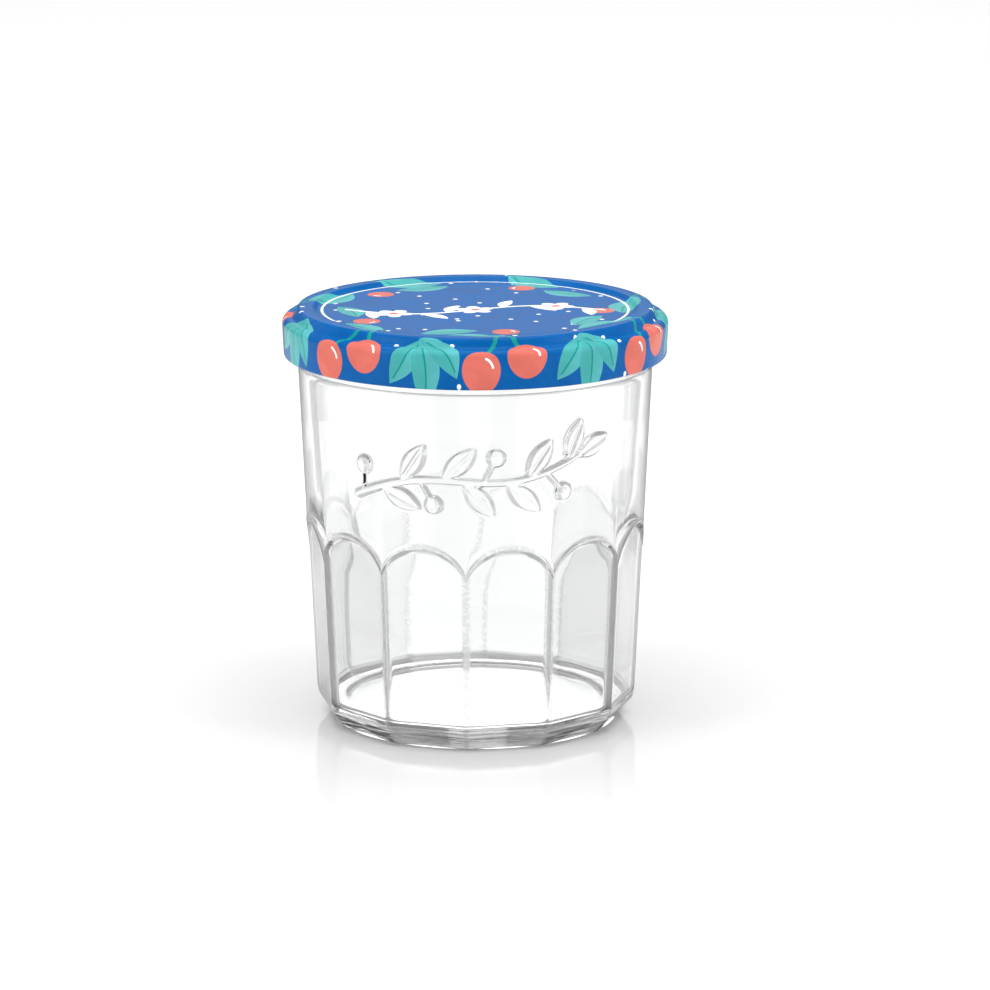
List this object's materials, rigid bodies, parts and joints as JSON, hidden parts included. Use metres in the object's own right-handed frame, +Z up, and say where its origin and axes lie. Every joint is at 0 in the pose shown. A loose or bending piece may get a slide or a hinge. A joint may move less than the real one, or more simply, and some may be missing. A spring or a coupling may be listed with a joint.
{
  "type": "faceted glass jam jar with twist-off lid",
  "caption": "Straight tumbler-shaped jam jar of clear glass with arched flat facets round its lower half, a raised leafy sprig on its front and a printed twist-off lid.",
  "frame": {"origin": "centre of the jar's foot, on the surface that it stands on", "axes": "+Z up along the jar's axis, -Y towards the front with the raised sprig, +X to the right seen from the front"},
  "size_m": [0.086, 0.086, 0.0935],
  "materials": {
    "clear_glass": "clear pressed glass, gloss",
    "printed_tinplate": "printed and varnished sheet, gloss",
    "sealing_compound": "matt"
  },
  "bodies": {
    "root": {"glass_jar": "clear_glass", "lid": "printed_tinplate", "lid_seal": "sealing_compound"}
  },
  "joints": []
}
